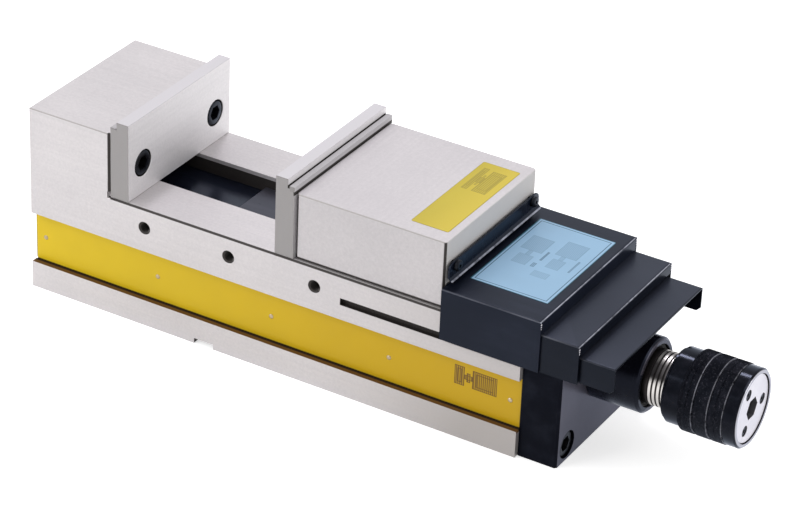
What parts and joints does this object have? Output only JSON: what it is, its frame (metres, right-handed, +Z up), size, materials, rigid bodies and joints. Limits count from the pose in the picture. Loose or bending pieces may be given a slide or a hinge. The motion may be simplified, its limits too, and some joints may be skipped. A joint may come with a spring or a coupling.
{
  "type": "hydraulic machine vise",
  "caption": "Compact hydraulic machine vise: ground body with fixed jaw, sliding jaw with stepped plates, telescoping sheet covers, pressure spindle with ring scale and knurled handle.",
  "frame": {"origin": "middle of the overall box, on the underside of the base", "axes": "+X from the fixed jaw towards the handle, +Y away from the side plate, +Z up"},
  "size_m": [0.5414, 0.137, 0.1553],
  "materials": {
    "ground_steel": "fine ground",
    "cast_iron": "machined and oiled",
    "bright_steel": "turned and polished",
    "black_oxide": "black oxide",
    "dark_sheet": "satin dark coating",
    "yellow_plate": "printed satin",
    "rubber": "matt",
    "brass": "bright"
  },
  "bodies": {
    "root": {"vise_body": "ground_steel", "fixed_jaw_plate": "ground_steel", "fixed_jaw_screw_near": "black_oxide", "fixed_jaw_screw_far": "black_oxide", "lower_shield": "dark_sheet", "side_plate": "yellow_plate", "end_block": "black_oxide", "end_block_screw_1": "black_oxide", "end_block_screw_2": "black_oxide", "end_block_screw_3": "black_oxide", "end_block_screw_4": "black_oxide", "spindle_nut": "black_oxide", "wiper_seal": "rubber", "cover_rear": "dark_sheet", "cover_screw_near": "black_oxide", "cover_screw_far": "black_oxide"},
    "feed_carriage": {"thrust_block": "cast_iron", "thrust_bearing": "bright_steel", "bearing_retainer": "bright_steel", "return_spring": "bright_steel"},
    "spindle": {"spindle_cylinder": "bright_steel", "pressure_scale": "bright_steel", "plunger_seal": "rubber"},
    "handle_set": {"handle": "black_oxide", "handle_cap": "black_oxide", "handle_screw_1": "bright_steel", "handle_screw_2": "bright_steel", "handle_screw_3": "bright_steel", "drive_socket": "brass", "plunger": "bright_steel"},
    "rod_set": {"thrust_rod": "bright_steel", "power_piston": "bright_steel", "piston_seal": "rubber"},
    "jaw_set": {"moving_jaw": "ground_steel", "moving_jaw_plate": "ground_steel", "moving_jaw_screw_near": "black_oxide", "moving_jaw_screw_far": "black_oxide", "jaw_saddle": "cast_iron", "saddle_bolt_front": "black_oxide", "saddle_bolt_rear": "black_oxide", "upper_shield": "dark_sheet", "cover_front": "dark_sheet", "chip_guard": "dark_sheet", "guard_screw_near": "black_oxide", "guard_screw_far": "black_oxide"},
    "middle_cover": {"cover_middle": "dark_sheet"},
    "pin": {"range_pin": "bright_steel"}
  },
  "joints": [
    {"name": "spindle_feed", "type": "slide", "parent": "root", "child": "feed_carriage", "axis": [1, 0, 0], "range_m": [-0.005, 0.026]},
    {"name": "handle_turn", "type": "hinge", "parent": "feed_carriage", "child": "spindle", "pos_m": [0.2145, 0, 0.056], "axis": [1, 0, 0], "range_deg": [-450, 2340]},
    {"name": "power_stroke", "type": "slide", "parent": "spindle", "child": "handle_set", "axis": [1, 0, 0], "range_m": [-0.0105, 0]},
    {"name": "clamp_stroke", "type": "slide", "parent": "feed_carriage", "child": "rod_set", "axis": [1, 0, 0], "range_m": [-0.0011, 0]},
    {"name": "range_shift", "type": "slide", "parent": "rod_set", "child": "jaw_set", "axis": [1, 0, 0], "range_m": [-0.114, 0]},
    {"name": "cover_extend", "type": "slide", "parent": "jaw_set", "child": "middle_cover", "axis": [1, 0, 0], "range_m": [0, 0.06]},
    {"name": "range_pin_lift", "type": "slide", "parent": "jaw_set", "child": "pin", "axis": [0, 0, 1], "range_m": [-0.0165, 0]}
  ],
  "couplings": [
    {"joint": "spindle_feed", "follows": "handle_turn", "m_per_rad": 0.00063662},
    {"joint": "clamp_stroke", "follows": "power_stroke", "ratio": 0.10438}
  ]
}
